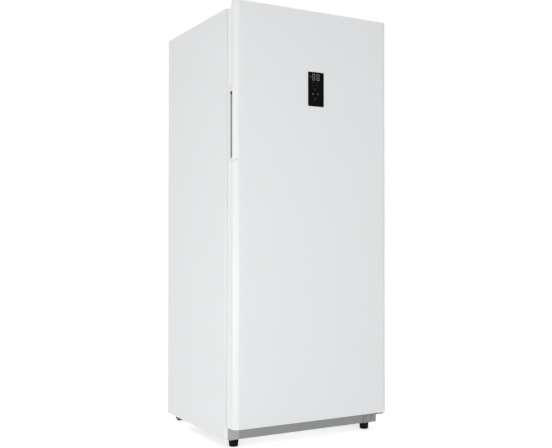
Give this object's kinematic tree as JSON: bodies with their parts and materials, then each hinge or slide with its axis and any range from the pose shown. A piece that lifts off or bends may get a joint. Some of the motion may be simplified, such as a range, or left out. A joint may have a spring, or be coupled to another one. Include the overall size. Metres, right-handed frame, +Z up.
{
  "type": "upright freezer",
  "caption": "Upright white freezer: full-height hinged door with side finger slot and display, shelves, drawers, door bins, fan-cooled coil, compressor, feet and rear rollers.",
  "frame": {"origin": "on the floor under the middle of the freezer's bounding box", "axes": "+X to the hinged side, seen from the front; +Y from the door to the back; +Z up"},
  "size_m": [0.6, 0.567, 1.445],
  "materials": {
    "white_enamel": "smooth white enamel",
    "grey_enamel": "grey enamel",
    "galvanised_steel": "zinc-coated sheet",
    "black_steel": "black enamel",
    "zinc_fasteners": "bright zinc",
    "white_plastic": "satin white plastic",
    "door_edge_plastic": "satin white plastic",
    "liner_plastic": "moulded white styrene",
    "clear_plastic": "clear bluish styrene",
    "foam": "rigid foam, not in sight",
    "white_seal": "soft white vinyl",
    "magnet_strip": "flexible magnet strip",
    "black_rubber": "matt black",
    "black_plastic": "black plastic",
    "display_glass": "near-black printed glass",
    "circuit_board": "green circuit board",
    "shelf_glass": "toughened clear glass",
    "aluminium_fins": "bare aluminium",
    "copper": "bare copper",
    "roller_plastic": "dark grey plastic"
  },
  "bodies": {
    "cabinet": {"side_panel_left": "white_enamel", "side_panel_right": "white_enamel", "top_panel": "white_enamel", "back_panel": "galvanised_steel", "base_step_panel": "galvanised_steel", "front_rail": "grey_enamel", "base_frame": "galvanised_steel", "foam_insulation": "foam", "inner_liner": "liner_plastic", "glass_shelves": "shelf_glass", "shelf_trims": "white_plastic", "drawer_runners": "white_plastic", "lamp_cover": "clear_plastic", "lamp_board": "circuit_board", "evaporator_cover": "liner_plastic", "evaporator_fins": "aluminium_fins", "evaporator_tube": "aluminium_fins", "defrost_heater": "galvanised_steel", "fan_motor": "black_plastic", "fan_shroud": "white_plastic", "top_hinge_bracket": "galvanised_steel", "bottom_hinge_bracket": "grey_enamel", "hinge_pins_and_screws": "zinc_fasteners", "top_hinge_cover": "white_plastic", "compressor_plate": "galvanised_steel", "compressor": "black_steel", "compressor_grommets": "black_rubber", "compressor_relay_cover": "black_plastic", "refrigerant_tubes_and_drier": "copper", "drain_pan": "black_plastic", "drain_tube": "white_plastic", "condenser_coils": "copper", "control_box": "white_plastic", "control_board": "circuit_board", "machine_cover": "galvanised_steel", "power_inlet": "black_plastic"},
    "door": {"door_skin": "white_enamel", "door_top_cap": "door_edge_plastic", "door_bottom_cap": "door_edge_plastic", "door_side_strips": "door_edge_plastic", "door_foam": "foam", "door_liner": "liner_plastic", "door_gasket": "white_seal", "gasket_magnet": "magnet_strip", "handle_insert": "white_plastic", "display_glass": "display_glass", "display_housing": "black_plastic", "display_board": "circuit_board", "hinge_bushes": "white_plastic"},
    "door_bin_1": {"door_bin_1": "clear_plastic"},
    "door_bin_2": {"door_bin_2": "clear_plastic"},
    "door_bin_3": {"door_bin_3": "clear_plastic"},
    "door_bin_4": {"door_bin_4": "clear_plastic"},
    "lower_drawer": {"lower_drawer": "clear_plastic"},
    "upper_drawer": {"upper_drawer": "clear_plastic"},
    "evaporator_fan": {"evaporator_fan": "white_plastic"},
    "foot_left": {"levelling_foot_left": "black_rubber"},
    "foot_right": {"levelling_foot_right": "black_rubber"},
    "roller_left": {"rear_roller_left": "roller_plastic"},
    "roller_right": {"rear_roller_right": "roller_plastic"}
  },
  "joints": [
    {"name": "door_hinge", "type": "hinge", "parent": "cabinet", "child": "door", "pos_m": [0.28, -0.2555, 0.7415], "axis": [0, 0, 1], "range_deg": [0, 130]},
    {"name": "bin_1_lift", "type": "slide", "parent": "door", "child": "door_bin_1", "axis": [0, 0, 1], "range_m": [0, 0.02]},
    {"name": "bin_2_lift", "type": "slide", "parent": "door", "child": "door_bin_2", "axis": [0, 0, 1], "range_m": [0, 0.02]},
    {"name": "bin_3_lift", "type": "slide", "parent": "door", "child": "door_bin_3", "axis": [0, 0, 1], "range_m": [0, 0.02]},
    {"name": "bin_4_lift", "type": "slide", "parent": "door", "child": "door_bin_4", "axis": [0, 0, 1], "range_m": [0, 0.02]},
    {"name": "lower_drawer_slide", "type": "slide", "parent": "cabinet", "child": "lower_drawer", "axis": [0, -1, 0], "range_m": [0, 0.14]},
    {"name": "upper_drawer_slide", "type": "slide", "parent": "cabinet", "child": "upper_drawer", "axis": [0, -1, 0], "range_m": [0, 0.22]},
    {"name": "fan_spin", "type": "hinge", "parent": "cabinet", "child": "evaporator_fan", "pos_m": [0, 0.1985, 0.6415], "axis": [0, 1, 0], "continuous": true},
    {"name": "foot_left_adjust", "type": "slide", "parent": "cabinet", "child": "foot_left", "axis": [0, 0, -1], "range_m": [0, 0.01]},
    {"name": "foot_right_adjust", "type": "slide", "parent": "cabinet", "child": "foot_right", "axis": [0, 0, -1], "range_m": [0, 0.01]},
    {"name": "roller_left_spin", "type": "hinge", "parent": "cabinet", "child": "roller_left", "pos_m": [-0.264, 0.2395, 0.012], "axis": [1, 0, 0], "continuous": true},
    {"name": "roller_right_spin", "type": "hinge", "parent": "cabinet", "child": "roller_right", "pos_m": [0.264, 0.2395, 0.012], "axis": [1, 0, 0], "continuous": true}
  ],
  "couplings": [
    {"joint": "lower_drawer_slide", "follows": "door_hinge", "m_per_rad": 0.0616},
    {"joint": "upper_drawer_slide", "follows": "door_hinge", "m_per_rad": 0.0968}
  ]
}
